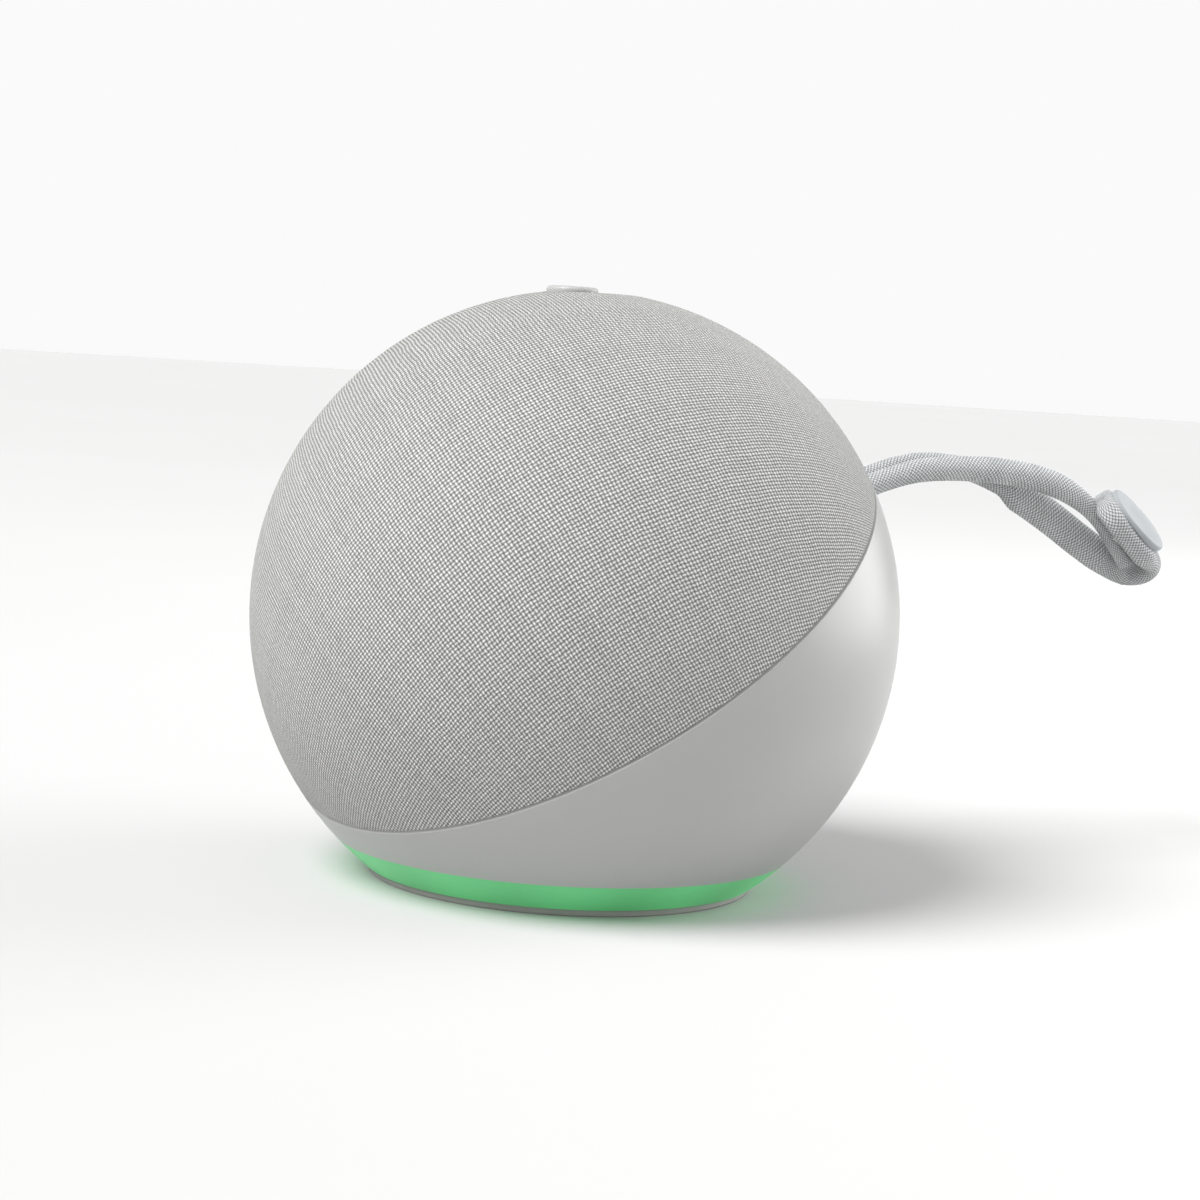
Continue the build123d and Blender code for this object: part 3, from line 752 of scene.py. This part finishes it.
# %% Moulded finish
def moulded(name, hex_colour, roughness, grain_mm=0.35, depth_mm=0.006, tone=0.05, ior=1.5):
    """A moulded plastic or rubber with a fine tool texture and a slow change of tone."""
    material, tree, shader = finish_named(name)
    place = add(tree, "ShaderNodeTexCoord").outputs["Object"]
    slow = add(tree, "ShaderNodeTexNoise", {"Scale": 45.0, "Detail": 2.0}, {"Vector": place})
    gain = add(
        tree,
        "ShaderNodeMapRange",
        {"To Min": 1 - tone, "To Max": 1 + tone},
        {"Value": slow.outputs["Fac"]},
    )
    base = add(tree, "ShaderNodeRGB")
    base.outputs[0].default_value = linear(hex_colour)
    toned = add(
        tree,
        "ShaderNodeVectorMath",
        {"operation": "SCALE"},
        {0: base.outputs[0], "Scale": gain.outputs[0]},
    )
    tree.links.new(toned.outputs[0], shader.inputs["Base Color"])
    # The spark texture is finer than the eye resolves here, so it is drawn coarser
    grain = add(
        tree,
        "ShaderNodeTexNoise",
        {"Scale": 1 / (grain_mm * MM), "Detail": 3.0},
        {"Vector": place},
    )
    bump = add(
        tree,
        "ShaderNodeBump",
        {"Strength": 0.5, "Distance": depth_mm * MM},
        {"Height": grain.outputs["Fac"]},
    )
    tree.links.new(bump.outputs[0], shader.inputs["Normal"])
    uneven = add(
        tree,
        "ShaderNodeMapRange",
        {"To Min": roughness - 0.04, "To Max": roughness + 0.06},
        {"Value": slow.outputs["Fac"]},
    )
    tree.links.new(uneven.outputs[0], shader.inputs["Roughness"])
    shader.inputs["IOR"].default_value = ior
    return material


finish = {
    "shell_plastic": moulded("abs_satin_grey", "#A4A4A3", 0.34),
    "inner_plastic": moulded("abs_black", "#1C1C1E", 0.5),
    "foot_rubber": moulded("silicone_grey", "#9B9897", 0.65, tone=0.03, ior=1.42),
    "flap_rubber": moulded("tpu_light_grey", "#BDBCBA", 0.5, tone=0.03),
    "seal_rubber": moulded("silicone_black", "#101011", 0.6, ior=1.42),
    "button_plastic": moulded("abs_button_grey", "#AEAEAD", 0.4),
    "cap_plastic": moulded("acetal_cap_grey", "#9A9EA1", 0.55, tone=0.03, ior=1.48),
    "lug_plastic": moulded("nylon_lug_grey", "#8E9090", 0.45, ior=1.53),
    "ferrite": moulded("plated_magnet", "#3A3A3C", 0.4),
    "paper_cone": moulded("pressed_paper_black", "#1E1D1C", 0.85, grain_mm=0.6, depth_mm=0.05),
    "spider_cloth": moulded("resin_cotton", "#9A7A3C", 0.8, grain_mm=0.5, depth_mm=0.05),
    "battery_wrap": moulded("foil_pouch", "#9AA0A8", 0.3, grain_mm=2.0, depth_mm=0.05),
    "circuit_board": moulded("solder_mask_green", "#0F5A36", 0.35, tone=0.15, ior=1.55),
    "black_component": moulded("epoxy_black", "#151516", 0.45),
    "led_white": moulded("emitter_white", "#EDEBE0", 0.3),
}
print(len(finish), "moulded finishes")

# %% [markdown]
# ## Metals
# Bare steel is a conductor: its colour tints the reflection, and fine drawing or rolling
# lines stretch the highlight. Stretching a noise along one axis gives those lines.
# Powder coat hides the metal under a pebbled skin, and enamelled copper is smooth.

# %% Metal finish
def metal(name, hex_colour, roughness, metallic=1.0, lines_mm=0.4, stretch=12.0):
    """A metal with drawn lines, or a coated one where metallic is low."""
    material, tree, shader = finish_named(name)
    place = add(tree, "ShaderNodeTexCoord").outputs["Object"]
    pulled = add(tree, "ShaderNodeMapping", {"Scale": (1, 1, 1 / stretch)}, {"Vector": place})
    lines = add(
        tree,
        "ShaderNodeTexNoise",
        {"Scale": 1 / (lines_mm * MM), "Detail": 4.0},
        {"Vector": pulled.outputs[0]},
    )
    colour = add(tree, "ShaderNodeValToRGB", links={"Fac": lines.outputs["Fac"]})
    dark, light = colour.color_ramp.elements
    tint = linear(hex_colour)
    dark.color = (*(0.8 * part for part in tint[:3]), 1)
    light.color = tint
    tree.links.new(colour.outputs["Color"], shader.inputs["Base Color"])
    spread = add(
        tree,
        "ShaderNodeMapRange",
        {"To Min": roughness - 0.06, "To Max": roughness + 0.08},
        {"Value": lines.outputs["Fac"]},
    )
    tree.links.new(spread.outputs[0], shader.inputs["Roughness"])
    bump = add(
        tree,
        "ShaderNodeBump",
        {"Strength": 0.3, "Distance": 0.01 * MM},
        {"Height": lines.outputs["Fac"]},
    )
    tree.links.new(bump.outputs[0], shader.inputs["Normal"])
    shader.inputs["Metallic"].default_value = metallic
    return material


finish["steel"] = metal("plain_steel", "#B9B9BA", 0.34)
finish["basket_steel"] = metal("powder_coat_black", "#19191B", 0.55, metallic=0.0, stretch=1.0)
finish["copper"] = metal("enamelled_copper", "#C8794A", 0.3, lines_mm=0.25, stretch=1.0)
print("steel, coated steel and copper added")

# %% [markdown]
# ## The light ring
# The ring is a band of translucent acrylic over a row of small lamps. The green comes from
# the light inside it, so the finish is a green base with a low even glow. The lamps are a
# few millimetres behind the band, and leave it slightly brighter in front of each one.

# %% Lit acrylic
lamp_count = 12
glow, tree, shader = finish_named("acrylic_lit_green")
place = add(tree, "ShaderNodeTexCoord").outputs["Object"]
parts = add(tree, "ShaderNodeSeparateXYZ", links={0: place})
angle = add(
    tree,
    "ShaderNodeMath",
    {"operation": "ARCTAN2"},
    {0: parts.outputs["Y"], 1: parts.outputs["X"]},
)
turns = add(
    tree,
    "ShaderNodeMath",
    {"operation": "MULTIPLY", 1: lamp_count},
    {0: angle.outputs[0]},
)
wave = add(tree, "ShaderNodeMath", {"operation": "COSINE"}, {0: turns.outputs[0]})
lamps = add(
    tree,
    "ShaderNodeMapRange",
    {"From Min": -1.0, "To Min": 0.17, "To Max": 0.24},
    {"Value": wave.outputs[0]},
)
mottle = add(tree, "ShaderNodeTexNoise", {"Scale": 60.0, "Detail": 2.0}, {"Vector": place})
body = add(tree, "ShaderNodeValToRGB", links={"Fac": mottle.outputs["Fac"]})
body.color_ramp.elements[0].color = linear("#55A76B")
body.color_ramp.elements[1].color = linear("#60B277")
tree.links.new(body.outputs["Color"], shader.inputs["Base Color"])
shader.inputs["Emission Color"].default_value = linear("#6BDC8C")
tree.links.new(lamps.outputs[0], shader.inputs["Emission Strength"])
shader.inputs["Roughness"].default_value = 0.4
shader.inputs["IOR"].default_value = 1.49
finish["light_ring"] = glow
print("ring lit by", lamp_count, "lamps")

# %% Every frame node gets the finish of its slot
finish["woven_fabric"] = grille_cloth
finish["strap_weave"] = strap_cloth
for subpart in frame["record"]["subparts"]:
    node = frame["nodes"][subpart["node"]]
    node.data.materials.clear()
    node.data.materials.append(finish[subpart["material_slot"]])

# %% [markdown]
# ## Putting the soft pieces on the frame
# A piece follows the body it rides on, and stands for the plain solid that it hides. The
# strap's legs are cords of a fixed length, and the cover is a sheet cut flat and stretched
# over the grille.

# %% Riding and replacing
soft_pieces = [
    (fabric, "speaker", "woven_fabric", grille_cloth, ["fabric_cover"]),
    (strap_upper, "strap", "strap_weave", strap_cloth, ["strap_upper"]),
    (strap_lower, "strap", "strap_weave", strap_cloth, ["strap_lower"]),
    (strap_tab, "strap", "strap_weave", strap_cloth, ["strap_tab"]),
    (snap_cap, "strap", "cap_plastic", finish["cap_plastic"], ["snap_cap"]),
]
for piece, body_name, slot, skin_finish, hidden in soft_pieces:
    piece.data.materials.append(skin_finish)
    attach(piece, body_name)
    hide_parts(*hidden)

# %% [markdown]
# ## Floor and light
# A plain pale floor under a pale sky has hardly any horizon line. One soft light above the
# camera's left shoulder models the ball, a second from behind on the right brightens the
# edge of the shell, and the sky fills the shadows.

# %% Floor
floor_radius = 6.0
floor_mesh = bpy.data.meshes.new("floor")
floor_points = 64
around = [2 * math.pi * i / floor_points for i in range(floor_points)]
rim = [(floor_radius * math.cos(t), floor_radius * math.sin(t), 0) for t in around]
floor_mesh.from_pydata(rim, [], [tuple(range(floor_points))])
floor = bpy.data.objects.new("floor", floor_mesh)
bpy.context.scene.collection.objects.link(floor)
paper, tree, shader = finish_named("paper_white")
fibre = add(tree, "ShaderNodeTexNoise", {"Scale": 30.0, "Detail": 3.0})
pale = add(tree, "ShaderNodeValToRGB", links={"Fac": fibre.outputs["Fac"]})
pale.color_ramp.elements[0].color = linear("#CACAC9")
pale.color_ramp.elements[1].color = linear("#CFCFCF")
tree.links.new(pale.outputs["Color"], shader.inputs["Base Color"])
shader.inputs["Roughness"].default_value = 0.9
floor_mesh.materials.append(paper)


# %% A large soft key light, and a small one behind the strap's side
flat_back = Vector((back.x, back.y, 0)).normalized()
aim = ball_centre * MM


def lamp(name, kind, place, energy, **settings):
    """A lamp at a place in metres, turned towards the ball."""
    data = bpy.data.lights.new(name, kind)
    data.energy = energy
    for key, value in settings.items():
        setattr(data, key, value)
    holder = bpy.data.objects.new(name, data)
    bpy.context.scene.collection.objects.link(holder)
    holder.location = place
    holder.rotation_euler = (place - aim).to_track_quat("Z", "Y").to_euler()


key_place = flat_back * 0.45 - right * 0.62 + Vector((0, 0, 1.0))
rim_place = right * 0.8 - flat_back * 0.3 + Vector((0, 0, 0.25))
lamp("key", "SUN", key_place, 3.8, angle=math.radians(35))
lamp("rim", "AREA", rim_place, 6.5, size=0.7)

# %% A sky that is white at the horizon and greyer overhead
world = bpy.data.worlds.new("pale")
world.use_nodes = True
sky = world.node_tree
backdrop = sky.nodes["Background"]
view = add(sky, "ShaderNodeTexCoord").outputs["Generated"]
tall = add(sky, "ShaderNodeSeparateXYZ", links={0: view}).outputs["Z"]
# The ramp runs over the height on the sky, which is 0 at the horizon and 1 overhead
fade = add(sky, "ShaderNodeValToRGB", links={"Fac": tall})
fade.color_ramp.elements[0].position = 0.22
fade.color_ramp.elements[0].color = linear("#FAFAFA")
fade.color_ramp.elements[1].position = 0.6
fade.color_ramp.elements[1].color = linear("#ACACAC")
sky.links.new(fade.outputs["Color"], backdrop.inputs["Color"])
backdrop.inputs["Strength"].default_value = 1.0
bpy.context.scene.world = world
bpy.context.scene.view_settings.view_transform = "Standard"
print("two lamps and a pale sky")

# %% Done
print("scene is built")
